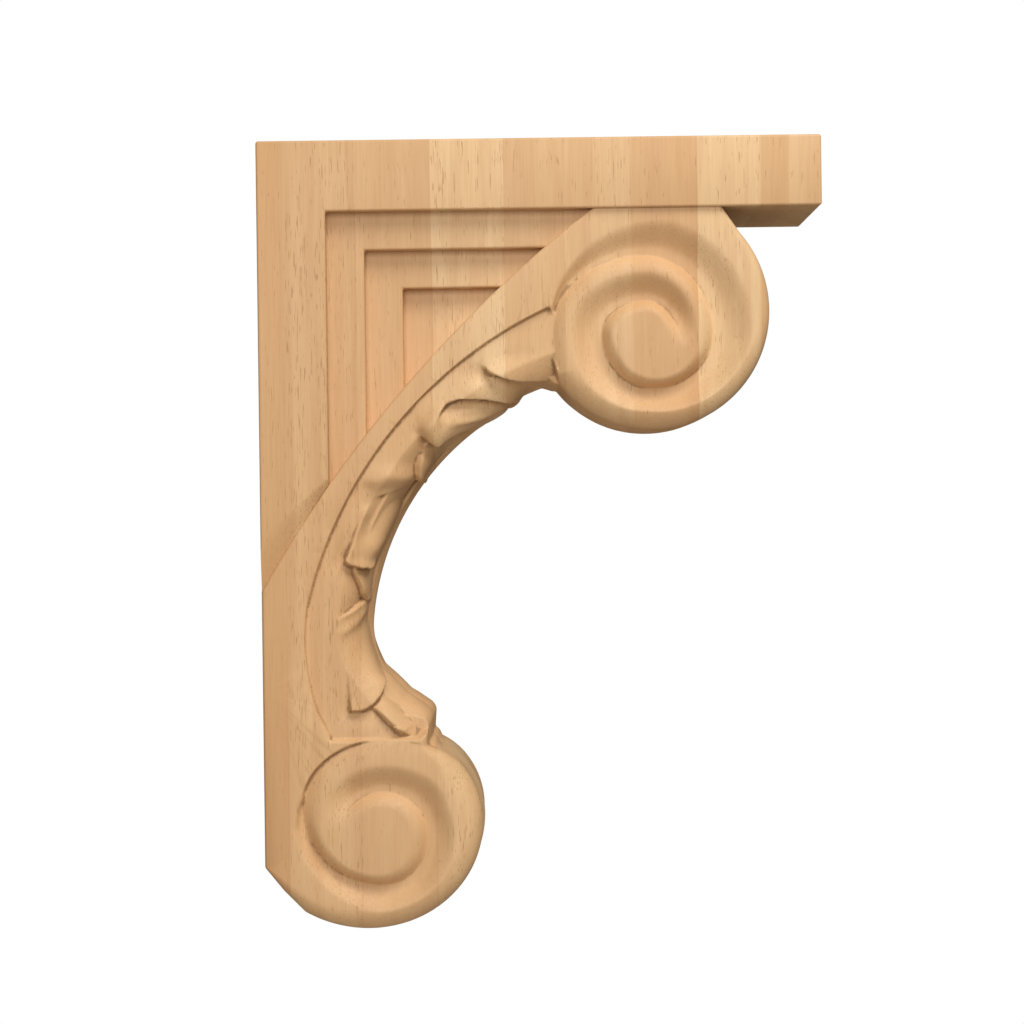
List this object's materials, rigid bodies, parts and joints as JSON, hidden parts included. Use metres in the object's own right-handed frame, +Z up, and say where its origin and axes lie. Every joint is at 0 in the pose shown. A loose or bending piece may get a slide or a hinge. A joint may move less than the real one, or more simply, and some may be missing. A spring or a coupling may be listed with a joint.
{
  "type": "corbel bracket",
  "caption": "Carved wooden corbel bracket: a shelf arm and wall stile over a stepped panel, joined by a curved band with a draped leaf and a scroll at each end.",
  "frame": {"origin": "middle of the flat back face that lies against the wall", "axes": "+X out from the wall along the shelf arm, +Y across the thickness, +Z up"},
  "size_m": [0.219, 0.0762, 0.3067],
  "materials": {
    "pale_hardwood": "bare sanded pale hardwood, edge-glued from upright staves, matt"
  },
  "bodies": {
    "root": {"corbel": "pale_hardwood"}
  },
  "joints": []
}
